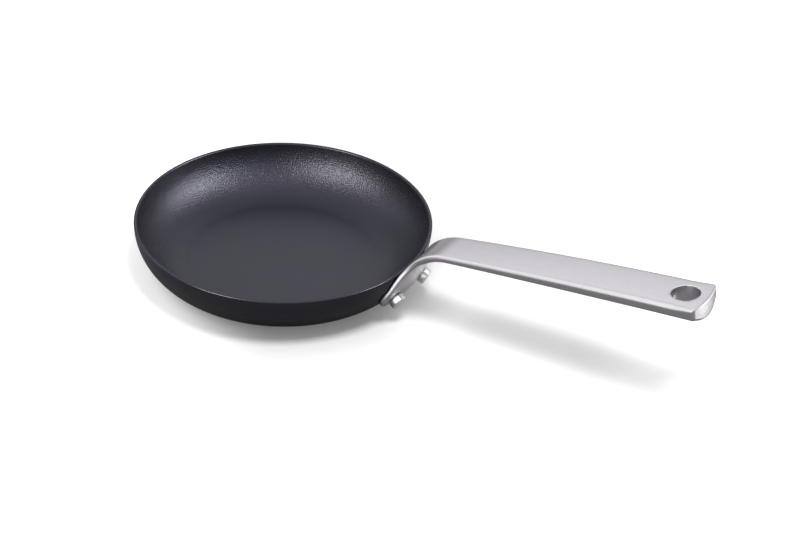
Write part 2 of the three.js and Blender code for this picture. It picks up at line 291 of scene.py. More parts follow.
# The coat over the rolled lip, burnished where it is thin: it catches a fine bright line of light
def lipCoating(look):
    material, tree = newMaterial("burnishedLipCoat")
    coords = addNode(tree, "ShaderNodeTexCoord").outputs["Object"]
    grain = addNode(
        tree, "ShaderNodeTexNoise", {"Scale": 1 / (look["outsideGrain"] * mm), "Detail": 2},
        {"Vector": coords})
    gloss = addNode(
        tree, "ShaderNodeMapRange", spans(noiseSpan, look["lipRoughness"]),
        {"Value": grain.outputs[0]})
    shader = addNode(
        tree, "ShaderNodeBsdfPrincipled",
        {"Base Color": linear(look["outsideColour"]), "Specular Tint": look["sheen"]},
        {"Roughness": gloss.outputs[0]})
    addNode(tree, "ShaderNodeOutputMaterial", links={"Surface": shader.outputs[0]})
    return material


steelLook = {
    "colour": "#cfccd1",
    "darker": "#c8c5ca",
    "roughness": (0.28, 0.34),
    "lineSpacing": 0.5,  # the real polish is finer, and drawn this coarse it just shows
    "lineLength": 30,
    "lineDepth": 0.0015,
    "castGrain": 6,
}


# Cast stainless steel, belt polished along its length: a soft satin that blurs what it mirrors
# into long bands
def satinSteel(look):
    material, tree = newMaterial("satinStainlessSteel")
    coords = addNode(tree, "ShaderNodeTexCoord").outputs["Object"]
    across = 1 / (look["lineSpacing"] * mm)
    stretched = addNode(
        tree, "ShaderNodeMapping", {"Scale": (1 / (look["lineLength"] * mm), across, across)},
        {"Vector": coords})
    lines = addNode(
        tree, "ShaderNodeTexNoise", {"Scale": 1, "Detail": 2}, {"Vector": stretched.outputs[0]})
    cast = addNode(
        tree, "ShaderNodeTexNoise",
        {"Scale": 1 / (look["castGrain"] * mm), "Detail": 3}, {"Vector": coords})
    tone = addNode(
        tree, "ShaderNodeMix", {6: linear(look["darker"]), 7: linear(look["colour"])},
        {0: cast.outputs[0]}, data_type="RGBA")
    gloss = addNode(
        tree, "ShaderNodeMapRange", spans(noiseSpan, look["roughness"]), {"Value": lines.outputs[0]})
    bump = addNode(
        tree, "ShaderNodeBump", {"Distance": look["lineDepth"] * mm, "Strength": 1},
        {"Height": lines.outputs[0]})
    shader = addNode(
        tree, "ShaderNodeBsdfPrincipled", {"Metallic": 1},
        {"Base Color": tone.outputs[2], "Roughness": gloss.outputs[0], "Normal": bump.outputs[0]})
    addNode(tree, "ShaderNodeOutputMaterial", links={"Surface": shader.outputs[0]})
    return material


rivetLook = {
    "colour": "#f0f0f3",
    "roughness": (0.28, 0.36),
    "scuff": 0.9,
    "scuffDepth": 0.008,
    "scuffStrength": 0.6,
}


# Cold headed steel, tumbled bright: clearer reflections than the handle, with light scuffs
def rivetSteel(look):
    material, tree = newMaterial("tumbledRivetSteel")
    coords = addNode(tree, "ShaderNodeTexCoord").outputs["Object"]
    scuff = addNode(
        tree, "ShaderNodeTexNoise",
        {"Scale": 1 / (look["scuff"] * mm), "Detail": 3}, {"Vector": coords})
    gloss = addNode(
        tree, "ShaderNodeMapRange", spans(noiseSpan, look["roughness"]), {"Value": scuff.outputs[0]})
    bump = addNode(
        tree, "ShaderNodeBump",
        {"Distance": look["scuffDepth"] * mm, "Strength": look["scuffStrength"]},
        {"Height": scuff.outputs[0]})
    shader = addNode(
        tree, "ShaderNodeBsdfPrincipled", {"Metallic": 1, "Base Color": linear(look["colour"])},
        {"Roughness": gloss.outputs[0], "Normal": bump.outputs[0]})
    addNode(tree, "ShaderNodeOutputMaterial", links={"Surface": shader.outputs[0]})
    return material


discLook = {
    "colour": "#bfbebd",
    "roughness": (0.28, 0.4),
    "cloud": 14,
    "toolMark": 0.7,
    "toolMarkDepth": 0.006,
    "toolMarkStrength": 0.8,
}


# Ferritic steel faced on a lathe: fine rings from the tool around the middle
def turnedSteel(look):
    material, tree = newMaterial("latheTurnedSteel")
    coords = addNode(tree, "ShaderNodeTexCoord").outputs["Object"]
    flat = addNode(tree, "ShaderNodeVectorMath", {1: (1, 1, 0)}, {0: coords}, operation="MULTIPLY")
    radius = addNode(tree, "ShaderNodeVectorMath", links={0: flat.outputs[0]}, operation="LENGTH")
    phase = addNode(
        tree, "ShaderNodeMath",
        {1: 2 * math.pi / (look["toolMark"] * mm)}, {0: radius.outputs["Value"]},
        operation="MULTIPLY")
    rings = addNode(tree, "ShaderNodeMath", links={0: phase.outputs[0]}, operation="SINE")
    cloud = addNode(
        tree, "ShaderNodeTexNoise",
        {"Scale": 1 / (look["cloud"] * mm), "Detail": 3}, {"Vector": coords})
    gloss = addNode(
        tree, "ShaderNodeMapRange", spans(noiseSpan, look["roughness"]), {"Value": cloud.outputs[0]})
    bump = addNode(
        tree, "ShaderNodeBump",
        {"Distance": look["toolMarkDepth"] * mm, "Strength": look["toolMarkStrength"]},
        {"Height": rings.outputs[0]})
    shader = addNode(
        tree, "ShaderNodeBsdfPrincipled", {"Metallic": 1, "Base Color": linear(look["colour"])},
        {"Roughness": gloss.outputs[0], "Normal": bump.outputs[0]})
    addNode(tree, "ShaderNodeOutputMaterial", links={"Surface": shader.outputs[0]})
    return material


insideMaterial = insideCoating(coatingLook)
outsideMaterial = outsideCoating(coatingLook)
lipMaterial = lipCoating(coatingLook)
steelMaterial = satinSteel(steelLook)
rivetMaterial = rivetSteel(rivetLook)
discMaterial = turnedSteel(discLook)
print("materials ready")


# Pan body

pan = {
    "rimRadius": 102,
    "baseRadius": 65.4,
    "height": 36.8,
    "wall": 2.4,  # at the rim
    "floor": 3.8,  # above the base disc
    "lip": 0.9,
    "segments": 192,
    "wallSteps": 40,
    "lipSteps": 12,
    "edge": 0.25,  # small rounding at the recess for the disc
    "edgeSteps": 4,
    "hub": 6,  # radius of the first ring around the middle
    "floorRings": (0.97, 0.9, 0.75, 0.5, 0.25, 0.08),  # shares of the base radius
    "coatedFrom": 4,  # height where the inside coat may begin
    "inwardLimit": 0.02,  # how far a face may turn outward and still be inside
    "downwardLimit": -0.2,
}

disc = {
    "inset": 7.4,
    "thickness": 1.2,
    "proud": 0.3,
    "clearance": 0.3,
    "edge": 0.3,
    "grooves": 3,
    "grooveWidth": 1.6,
    "grooveDepth": 0.4,
    "innerGroove": 20,  # radius
    "grooveSteps": 8,
    "edgeSteps": 5,
    "hub": 4,
    "backGap": 0.02,  # between the disc and its recess
    "segments": 160,
}

wallReach = pan["rimRadius"] - pan["baseRadius"]
wallDrop = pan["height"] - disc["proud"]
floorLevel = disc["thickness"] + pan["floor"]
innerReach = wallReach - pan["wall"]
innerDrop = pan["height"] - floorLevel
discRadius = pan["baseRadius"] - disc["inset"]


def panProfile():
    recess = discRadius + disc["clearance"]
    edge = pan["edge"]
    lipLevel = pan["height"] - pan["lip"]
    outerStart = math.asin(pan["lip"] / wallDrop)
    innerStart = math.asin(pan["lip"] / innerDrop)
    middle = (pan["baseRadius"], pan["height"])
    lipMiddle = (pan["rimRadius"] - pan["wall"] / 2, lipLevel)
    profile = [(radius, disc["thickness"]) for radius in (pan["hub"], recess - edge, recess)]
    corner = (recess + edge, disc["proud"] + edge)
    profile += arc(corner, (edge, edge), math.pi, 3 * quarter, pan["edgeSteps"])
    profile += arc(middle, (wallReach, -wallDrop), quarter, outerStart, pan["wallSteps"])
    profile += arc(lipMiddle, (pan["wall"] / 2, pan["lip"]), 0, math.pi, pan["lipSteps"])[1:-1]
    profile += arc(middle, (innerReach, -innerDrop), innerStart, quarter, pan["wallSteps"])
    profile += [(pan["baseRadius"] * share, floorLevel) for share in pan["floorRings"]]
    return profile


panPiece = turnPiece("panBody", panProfile(), pan["segments"])
print("pan turned:", len(panPiece.data.polygons), "faces")


# Rivets

rivet = {
    "spacing": 34.4,
    "drop": 17.8,  # below the rim
    "shank": 3,  # radii
    "outerHead": 5.6,
    "innerHead": 6.25,
    "outerHeight": 4.6,
    "outerRounding": 1.3,
    "innerEdge": 0.6,
    "innerRounding": 0.35,
    "innerCrown": 0.6,
    "innerCrownArc": (1.35, 0.2),  # radians
    "seatGap": 0.1,  # between the inner head and the wall
    "wallHollow": 0.7,  # how far the hollow wall comes up into the inner head
    "outerEdge": 0.3,  # under the outer head
    "outerCrown": 0.12,
    "clearance": 0.3,
    "hub": 0.3,
    "segments": 64,
    "crownSteps": 8,
    "innerSteps": 5,
    "edgeSteps": 3,
    "outerSteps": 10,
    "drillSegments": 48,
    "creaseAngle": 35,
}

flange = {
    "thickness": 3.3,
    "width": 60.8,
    "cornerRadius": 7,
    "lap": 1.5,
    "clearance": 0.3,
    "edgeRadius": 0.6,  # beside the wall
    "outerEdge": 2.2,
    "flareStart": 5,
    "flareLength": 38,
    "flarePower": 1.6,
    "liftOffDrop": 7,
    "lowerSweep": 8,
    "upperSweep": 23,
    "thickeningPace": 1.5,  # the sweep grows thick sooner than it lifts
    "steps": 28,
    "crowding": 1.5,  # loops crowd towards the lower edge
    "sweepSteps": 40,
    "startRings": (0.1, 0.4, 0.7),  # shares of the first loop, to close it
}


def wallNormal(angle):
    return Vector((wallDrop * math.cos(angle), -wallReach * math.sin(angle))).normalized()


def wallPlace(angle, offset):
    onWall = Vector((
        pan["baseRadius"] + wallReach * math.cos(angle),
        pan["height"] - wallDrop * math.sin(angle),
    ))
    return onWall + wallNormal(angle) * offset


def wallAngle(drop):
    return math.asin(drop / wallDrop)


# Wall thickness along its normal, where the normal meets the inner curve
def wallDepth(angle):
    start = wallPlace(angle, 0)
    normal = wallNormal(angle)
    across = (start.x - pan["baseRadius"]) / innerReach
    down = (pan["height"] - start.y) / innerDrop
    stepAcross = -normal.x / innerReach
    stepDown = normal.y / innerDrop
    square = stepAcross ** 2 + stepDown ** 2
    middle = across * stepAcross + down * stepDown
    rest = across ** 2 + down ** 2 - 1
    return (-middle - math.sqrt(middle ** 2 - square * rest)) / square


rivetAngle = wallAngle(rivet["drop"])
rivetWall = wallPlace(rivetAngle, 0)
rivetTurn = math.asin(rivet["spacing"] / 2 / rivetWall.x)
rivetTilt = math.atan2(wallNormal(rivetAngle).x, wallNormal(rivetAngle).y)
headSeat = flange["clearance"] + flange["thickness"] + rivet["clearance"]
rivetTip = headSeat + rivet["outerHeight"]
innerSeat = wallDepth(rivetAngle)
rivetStand = (
    Matrix.Translation((rivetWall.x * mm, 0, rivetWall.y * mm))
    @ Matrix.Rotation(rivetTilt, 4, "Y")
)


# The space outside the bowl, which gives the inner head a seat that follows the wall
def seatProfile():
    reach = innerReach - rivet["seatGap"]
    drop = innerDrop - rivet["seatGap"]
    middle = (pan["baseRadius"], pan["height"])
    profile = [(pan["hub"], 0), (pan["rimRadius"], 0), (pan["rimRadius"], pan["height"])]
    profile += arc(middle, (reach, -drop), 0, quarter, pan["wallSteps"])
    return profile + [(pan["hub"], pan["height"] - drop)]


def innerHeadProfile():
    edgeLevel = -innerSeat - rivet["innerEdge"] - rivet["wallHollow"]
    rounding = rivet["innerRounding"]
    flat = rivet["innerHead"] - rounding
    crown = rivet["innerCrown"]
    corner = (flat, edgeLevel + rounding)
    profile = [(rivet["hub"], edgeLevel - crown)]
    profile += arc((0, edgeLevel), (flat, -crown), *rivet["innerCrownArc"], rivet["crownSteps"])
    profile += arc(corner, (rounding, rounding), -quarter, 0, rivet["innerSteps"])
    return profile + [(rivet["innerHead"], 0), (rivet["hub"], 0)]


def outerHeadProfile():
    rounding = rivet["outerRounding"]
    edge = rivet["outerEdge"]
    outer = rivet["outerHead"]
    start = -innerSeat - rivet["innerEdge"]
    lowCorner = (outer - edge, headSeat + edge)
    highCorner = (outer - rounding, rivetTip - rounding)
    profile = [(rivet["hub"], start), (rivet["shank"], start), (rivet["shank"], headSeat)]
    profile += arc(lowCorner, (edge, edge), -quarter, 0, rivet["edgeSteps"])
    profile += arc(highCorner, (rounding, rounding), 0, quarter, rivet["outerSteps"])
    return profile + [(rivet["hub"], rivetTip + rivet["outerCrown"])]


def makeRivets():
    seat = turnPiece("rivetSeat", seatProfile(), pan["segments"])
    whole = settle(turnPiece("rivetInnerHead", innerHeadProfile(), rivet["segments"]), rivetStand)
    combine(whole, seat, "DIFFERENCE")
    shank = settle(turnPiece("rivetShank", outerHeadProfile(), rivet["segments"]), rivetStand)
    combine(whole, shank, "UNION")
    discard(seat)
    discard(shank)
    made = []
    for name, side in (("rivetLeft", -1), ("rivetRight", 1)):
        piece = settle(copyOf(whole, name), Matrix.Rotation(side * rivetTurn, 4, "Z"))
        smoothUp(piece, rivet["creaseAngle"])
        piece.data.materials.append(rivetMaterial)
        made.append(piece)
    discard(whole)
    return made


def makeDrills():
    reach = 2 * (rivetTip + innerSeat)
    radius = rivet["shank"] + rivet["clearance"]
    deselectAll()
    bpy.ops.mesh.primitive_cylinder_add(
        vertices=rivet["drillSegments"], radius=radius * mm, depth=reach * mm)
    drill = settle(bpy.context.object, rivetStand)
    made = []
    for side in (-1, 1):
        made.append(settle(copyOf(drill, "drill"), Matrix.Rotation(side * rivetTurn, 4, "Z")))
    discard(drill)
    return made


drills = makeDrills()
rivetPieces = makeRivets()
print("rivets headed")

for drill in drills:
    combine(panPiece, drill, "DIFFERENCE")
smoothUp(panPiece, creaseAngle)
panPiece.data.materials.append(outsideMaterial)
panPiece.data.materials.append(insideMaterial)
panPiece.data.materials.append(lipMaterial)
for polygon in panPiece.data.polygons:
    outward = Vector((polygon.center.x, polygon.center.y, 0)).normalized()
    facesIn = polygon.normal.dot(outward) < pan["inwardLimit"]
    facesIn = facesIn and polygon.normal.z > pan["downwardLimit"]
    polygon.material_index = 1 if facesIn and polygon.center.z > pan["coatedFrom"] * mm else 0
    if polygon.center.z > (pan["height"] - pan["lip"]) * mm:
        polygon.material_index = 2
print("pan drilled and coated")


# Base disc

def discProfile():
    profile = [(disc["hub"], 0)]
    spacing = (discRadius - disc["innerGroove"]) / disc["grooves"]
    groove = (-disc["grooveWidth"] / 2, disc["grooveDepth"])
    for ring in range(disc["grooves"]):
        middle = disc["innerGroove"] + ring * spacing
        profile += arc((middle, 0), groove, 0, math.pi, disc["grooveSteps"])
    edge = disc["edge"]
    back = disc["thickness"] - disc["backGap"]
    profile += arc((discRadius - edge, edge), (edge, edge), -quarter, 0, disc["edgeSteps"])
    return profile + [(radius, back) for radius in (discRadius, discRadius - edge, disc["hub"])]


discPiece = turnPiece("baseDisc", discProfile(), disc["segments"])
smoothUp(discPiece, creaseAngle)
discPiece.data.materials.append(discMaterial)
print("base disc turned")


# Handle

strap = {
    "neckReach": 30,
    "neckRise": 23.6,
    "reach": 210.5,
    "endRise": 48.1,
    "arch": 1.25,
    "crown": 0.25,  # across the top face
    "neckWidth": 29.3,
    "endWidth": 37,
    "sideBulge": 0.4,
    "neckThickness": 5.6,
    "endThickness": 9.4,
    "midThickness": 0.45,  # extra, half way along
    "neckBelly": 0.6,
    "endBelly": 4.2,
    "neckTopEdge": 3,
    "endTopEdge": 3.8,
    "tipTopEdge": 2.2,
    "tipLength": 16,
    "neckLowerEdge": 2,
    "endLowerEdge": 3,
    "endBow": 2.2,
    "bowLength": 24,
    "endCorner": 2.2,
    "endEdge": 1.4,
    "holeRadius": 9.35,
    "holeWall": 4.2,
    "holeEdge": 0.8,
    "holeEdgeSteps": 8,
    "holeSegments": 96,
    "holeHub": 1,
    "leastEdge": 0.1,
    "steps": 48,
    "edgeSteps": 10,
    "faceSteps": 14,
    "cornerSteps": 8,
    "endRings": (0.85, 0.65, 0.45, 0.25, 0.1),  # shares of the last loop, to close it
}

neckX = pan["rimRadius"] + strap["neckReach"]
neckTop = pan["height"] + strap["neckRise"]
endX = pan["rimRadius"] + strap["reach"]
endTop = pan["height"] + strap["endRise"]


# Top of the strap: a straight rise with a shallow crown
def strapPlace(share):
    crown = 4 * strap["arch"] * share * (1 - share)
    return Vector((between(neckX, endX, share), between(neckTop, endTop, share) + crown))


def bezier(points, share):
    left = 1 - share
    weights = (left ** 3, 3 * left ** 2 * share, 3 * left * share ** 2, share ** 3)
    return sum((point * weight for point, weight in zip(points, weights)), Vector((0, 0)))


# Top line of the handle, from the flange's lower edge up the wall, over the sweep and out
def handleLine():
    wallMiddle = Vector((pan["baseRadius"], pan["height"]))
    holeRadius = rivet["shank"] + rivet["clearance"]
    lowest = rivetAngle + (holeRadius + flange["lap"]) / (rivetWall - wallMiddle).length
    highest = wallAngle(flange["liftOffDrop"])
    shares = [(step / flange["steps"]) ** flange["crowding"] for step in range(flange["steps"] + 1)]
    onWall = [wallPlace(between(lowest, highest, share), flange["clearance"]) for share in shares]
    wallWay = (onWall[-1] - onWall[-2]).normalized()
    pastNeck = 0.05
    strapWay = (strapPlace(pastNeck) - strapPlace(0)).normalized()
    pull = (
        onWall[-1],
        onWall[-1] + wallWay * flange["lowerSweep"],
        strapPlace(0) - strapWay * flange["upperSweep"],
        strapPlace(0),
    )
    sweep = [bezier(pull, step / flange["sweepSteps"]) for step in range(1, flange["sweepSteps"] + 1)]
    edgeShare = max(strap["endEdge"], strap["endCorner"]) / (strap["reach"] - strap["neckReach"])
    along = [step / strap["steps"] * (1 - edgeShare) for step in range(1, strap["steps"] + 1)]
    turns = [math.sin(quarter * step / strap["edgeSteps"]) for step in range(1, strap["edgeSteps"] + 1)]
    along += [1 - edgeShare * (1 - turn) for turn in turns]
    return onWall + sweep + [strapPlace(share) for share in along]


def handleSizes(along, liftOff, neck, length):
    lifted = ease((along - liftOff) / (neck - liftOff))
    outward = max((along - neck) / (length - neck), 0)
    toEnd = length - along
    pastFlare = ease((along - flange["flareStart"]) / flange["flareLength"])
    flare = (1 - pastFlare) ** flange["flarePower"]
    half = between(strap["neckWidth"], strap["endWidth"], outward) / 2
    half += 4 * strap["sideBulge"] * outward * (1 - outward)
    half += (flange["width"] - strap["neckWidth"]) / 2 * flare
    half -= roundInset(flange["cornerRadius"], along) + roundInset(strap["endCorner"], toEnd)
    thickened = min(flange["thickeningPace"] * lifted, 1)
    thickness = between(flange["thickness"], strap["neckThickness"], thickened)
    belly = strap["neckBelly"] * lifted
    topEdge = between(strap["neckTopEdge"], strap["endTopEdge"], outward)
    topEdge = between(topEdge, strap["tipTopEdge"], ease(1 - toEnd / strap["tipLength"]))
    lowerEdge = between(strap["neckLowerEdge"], strap["endLowerEdge"], outward)
    if outward > 0:
        thickness = between(strap["neckThickness"], strap["endThickness"], outward)
        thickness += 4 * strap["midThickness"] * outward * (1 - outward)
        belly = between(strap["neckBelly"], strap["endBelly"], outward)
    return {
        "lifted": lifted,
        "bow": strap["endBow"] * max(1 - toEnd / strap["bowLength"], 0) ** 2,
        "half": half,
        "crown": strap["crown"] * lifted,
        "thickness": thickness,
        "belly": belly,
        "top": between(flange["edgeRadius"], topEdge, thickened),
        "lower": between(flange["outerEdge"], lowerEdge, lifted),
        "inset": roundInset(flange["edgeRadius"], along) + roundInset(strap["endEdge"], toEnd),
    }


# One loop around the handle, as places across it and depths below its top face
def handleSection(sizes):
    inset = sizes["inset"]
    half = sizes["half"] - inset
    floor = sizes["thickness"] - inset
    top = max(sizes["top"] - inset, strap["leastEdge"])
    lower = max(sizes["lower"] - inset, strap["leastEdge"])
    turns = [quarter * step / strap["cornerSteps"] for step in range(strap["cornerSteps"] + 1)]
    shoulder = inset + sizes["crown"]
    right = [(half - top + top * math.sin(a), shoulder + top - top * math.cos(a)) for a in turns[1:]]
    right += [(half - lower + lower * math.cos(a), floor - lower + lower * math.sin(a)) for a in turns]
    shares = [between(-1, 1, step / strap["faceSteps"]) for step in range(strap["faceSteps"] + 1)]
    upper = [(share * (half - top), inset + sizes["crown"] * share * share) for share in shares]
    under = [
        (share * (half - lower), floor + sizes["belly"] * (1 - share * share))
        for share in reversed(shares[1:-1])
    ]
    left = [(-side, depth) for side, depth in reversed(right)]
    return upper + right + under + left


# Places of that loop: wrapped around the pan in the flange, and flat in the strap
def handleLoop(place, way, sizes, shrink):
    down = Vector((way.y, -way.x))
    wrap = 1 - sizes["lifted"]
    middle = sizes["thickness"] / 2
    loop = []
    for side, depth in handleSection(sizes):
        side *= shrink
        depth = between(middle, depth, shrink)
        turn = side / place.x
        bulge = sizes["bow"] * (1 - (side / sizes["half"]) ** 2)
        across = depth * down.x
        x = between(place.x, place.x * math.cos(turn), wrap) + across * math.cos(wrap * turn)
        y = between(side, place.x * math.sin(turn), wrap) + across * math.sin(wrap * turn)
        loop.append(Vector((x + bulge * way.x, y, place.y + depth * down.y + bulge * way.y)) * mm)
    return loop


def handleLoops():
    line = handleLine()
    along = [0]
    for before, after in zip(line, line[1:]):
        along.append(along[-1] + (after - before).length)
    liftOff = along[flange["steps"]]
    neck = along[flange["steps"] + flange["sweepSteps"]]
    loops = []
    for index, place in enumerate(line):
        way = (line[min(index + 1, len(line) - 1)] - line[max(index - 1, 0)]).normalized()
        sizes = handleSizes(along[index], liftOff, neck, along[-1])
        if index == 0:
            loops += [handleLoop(place, way, sizes, shrink) for shrink in flange["startRings"]]
        loops.append(handleLoop(place, way, sizes, 1))
        if index == len(line) - 1:
            loops += [handleLoop(place, way, sizes, shrink) for shrink in strap["endRings"]]
    return loops


# Moves the picked loop to its places. It comes from the loop before, vertex by vertex.
def placeLoop(piece, order, places):
    mesh = bmesh.from_edit_mesh(piece.data)
    mesh.verts.ensure_lookup_table()
    newOrder = []
    for index, place in zip(order, places):
        vert = mesh.verts[index]
        if not vert.select:
            neighbours = [edge.other_vert(vert) for edge in vert.link_edges]
            vert = next(other for other in neighbours if other.select)
        vert.co = place
        newOrder.append(vert.index)
    bmesh.update_edit_mesh(piece.data)
    return newOrder


# The section changes all along the handle, so a loop is extruded for each place and set there
def makeHandle():
    loops = handleLoops()
    deselectAll()
    bpy.ops.mesh.primitive_circle_add(vertices=len(loops[0]), fill_type="NOTHING", enter_editmode=True)
    piece = bpy.context.object
    piece.name = "handleCasting"
    order = placeLoop(piece, list(range(len(loops[0]))), loops[0])
    for loop in loops[1:]:
        bpy.ops.mesh.extrude_region_move()
        order = placeLoop(piece, order, loop)
    closeEnds(piece, len(loops[0]))
    return piece


# Hanging hole: a bore square to the strap that flares over its upper edge
def makeHoleCutter():
    radius = strap["holeRadius"]
    edge = strap["holeEdge"]
    share = 1 - (radius + strap["holeWall"]) / (strap["reach"] - strap["neckReach"])
    middle = strapPlace(share)
    way = strapPlace(1) - middle
    depth = 2 * (strap["endThickness"] + strap["endBelly"])
    profile = [(strap["holeHub"], -depth), (radius, -depth)]
    profile += arc((radius + edge, -edge), (-edge, edge), 0, quarter, strap["holeEdgeSteps"])
    profile += [(radius + edge, edge), (strap["holeHub"], edge)]
    cutter = turnPiece("holeCutter", profile, strap["holeSegments"])
    tilt = Matrix.Rotation(-math.atan2(way.y, way.x), 4, "Y")
    return settle(cutter, Matrix.Translation((middle.x * mm, 0, middle.y * mm)) @ tilt)


handlePiece = makeHandle()
holeCutter = makeHoleCutter()
for cutter in [holeCutter] + drills:
    combine(handlePiece, cutter, "DIFFERENCE")
    discard(cutter)
smoothUp(handlePiece, creaseAngle)
handlePiece.data.materials.append(steelMaterial)
print("handle drawn out:", len(handlePiece.data.polygons), "faces")

for piece, node, slot in (
    (panPiece, "pan_body", "coating"),
    (discPiece, "base_disc", "disc_steel"),
    (handlePiece, "handle", "handle_steel"),
    (rivetPieces[0], "rivet_left", "rivet_metal"),
    (rivetPieces[1], "rivet_right", "rivet_metal"),
):
    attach(piece, "root")
    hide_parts(node)
print("pieces ride on the frame")


# Camera

view = {
    "aim": (97.87, -12.88, 36.8),
    "distance": 2002,
    "turn": 28.39,  # degrees, from looking along +Y
    "elevation": 33.42,
    "roll": 2.14,
    "lens": 135.5,
    "sensor": 36,
}

photoTurn = Matrix.Rotation(math.radians(view["turn"]), 4, "Z")
cameraTurn = photoTurn @ Matrix.Rotation(quarter - math.radians(view["elevation"]), 4, "X")
cameraData = bpy.data.cameras.new("photoCamera")
cameraData.lens = view["lens"]
cameraData.sensor_width = view["sensor"]
cameraObject = bpy.data.objects.new("photoCamera", cameraData)
bpy.context.scene.collection.objects.link(cameraObject)
standBack = cameraTurn @ Vector((0, 0, view["distance"] * mm))
cameraObject.matrix_world = (
    Matrix.Translation(Vector(view["aim"]) * mm + standBack)
    @ cameraTurn
    @ Matrix.Rotation(math.radians(view["roll"]), 4, "Z")
)
bpy.context.scene.camera = cameraObject


# Studio

studio = {
    "paper": "#efefef",
    "floorSize": 12,  # metres
    "floorDrop": 0.1,  # millimetres, to keep the paper clear of the base disc
    "openWithin": 3,  # millimetres
    "ambient": 0.4,
    "domeRadius": 2.4,
    "domeSegments": 64,
    "domeLevel": 0.33,
}

# How the paper changes from place to place: along an axis of the photo or by the distance around
# a place, in metres, each with its levels at the start and at the end of the span
floorFades = {
    # light added for the eye
    "everywhere": {"around": (0, 0, 0), "span": (0.09, 0.14), "levels": (0.12, 0.37)},
    "clearOfPan": {"around": (0, 0, 0), "span": (0.07, 0.095), "levels": (0, 1)},
    "left": {"along": "X", "span": (0, -0.08), "levels": (0, 0.5)},
    "right": {"along": "X", "span": (0.2, 0.26), "levels": (0, 0.17)},
    "corner": {"around": (0.1, -0.035, 0), "span": (0.06, 0.02), "levels": (0, 0.1)},
    "far": {"around": (0, 0, 0), "span": (0.42, 0.6), "levels": (0, 0.6)},
    # painted reflection: the grey that the steel mirrors in the paper, darker at the front, lighter
    # behind, around the handle's root and past its end
    "back": {"along": "Y", "span": (0, 0.1), "levels": (0.18, 0.42)},
    "root": {"around": (0.125, 0.005, 0), "span": (0.1, 0.05), "levels": (0.18, 0.66)},
    "end": {"along": "X", "span": (0.38, 0.43), "levels": (0, 1.5)},
    "pastHole": {"along": "Y", "span": (-0.17, -0.125), "levels": (0, 1)},
}

# Directions are the photo's own: X to the right, Y away, Z up. Places in metres.
lamps = {
    "keySoftbox": {"place": (0.18, -0.3, 1.03), "size": 0.32, "watts": 6.8, "colour": (1, 1, 1)},
    "leftSoftbox": {
        "place": (-1.24, -1.16, 1.06), "size": 0.9, "watts": 57,
        "colour": (1, 0.98, 0.82), "glintOn": "panBody",
    },
    "rightSoftbox": {
        "place": (1.7, -0.2, 1.04), "size": 0.9, "watts": 54,
        "colour": (1, 1, 0.92), "glintOn": "panBody",
    },
}

# Pale panels of the dome: each fades in along the axes that it names
panels = (
    {"level": 0.75, "Z": (0.3, 0.85)},  # overhead
    {"level": 0.64, "X": (-0.45, 0), "Y": (0.55, 0.8), "Z": (0.2, 0.45)},  # behind
    {"level": -0.4, "X": (0.1, 0.3), "Y": (0.6, 0.85), "Z": (0.15, 0.4)},  # its dark right side
    {"level": -0.25, "X": (-0.3, -0.1), "Y": (0.25, 0.5), "Z": (0.6, 0.75)},  # dark flag over that
    {"level": 0.45, "X": (-0.75, -0.35), "Y": (0.4, -0.2), "Z": (0.05, 0.4)},  # over the camera
    {"level": 0.55, "X": (-0.5, -0.8), "Y": (0.75, 0.25), "Z": (0.1, 0.45)},  # at the left
    {"level": 0.7, "X": (-0.65, -0.85), "Y": (0, 0.25), "Z": (-0.1, 0.05)},  # low, at the left
    {"level": 0.3, "X": (0.3, 0.7), "Z": (0.1, 0.5)},  # at the right
    {"level": 1.3, "X": (-0.1, -0.35), "Y": (-0.4, -0.7), "Z": (0.06, 0.22)},  # low, at the front left
)


def makeLamps():
    for name, lamp in lamps.items():
        data = bpy.data.lights.new(name, "AREA")
        data.size = lamp["size"]
        data.energy = lamp["watts"]
        data.color = lamp["colour"]
        light = bpy.data.objects.new(name, data)
        bpy.context.scene.collection.objects.link(light)
        light.location = photoTurn @ Vector(lamp["place"])
        light.rotation_euler = light.location.to_track_quat("Z", "Y").to_euler()
        if "glintOn" in lamp:
            lit = bpy.data.collections.new(name + "Lit")
            lit.objects.link(bpy.data.objects[lamp["glintOn"]])
            light.light_linking.receiver_collection = lit
            light.visible_diffuse = False
        else:
            light.visible_glossy = False  # the dome below is what shiny surfaces see
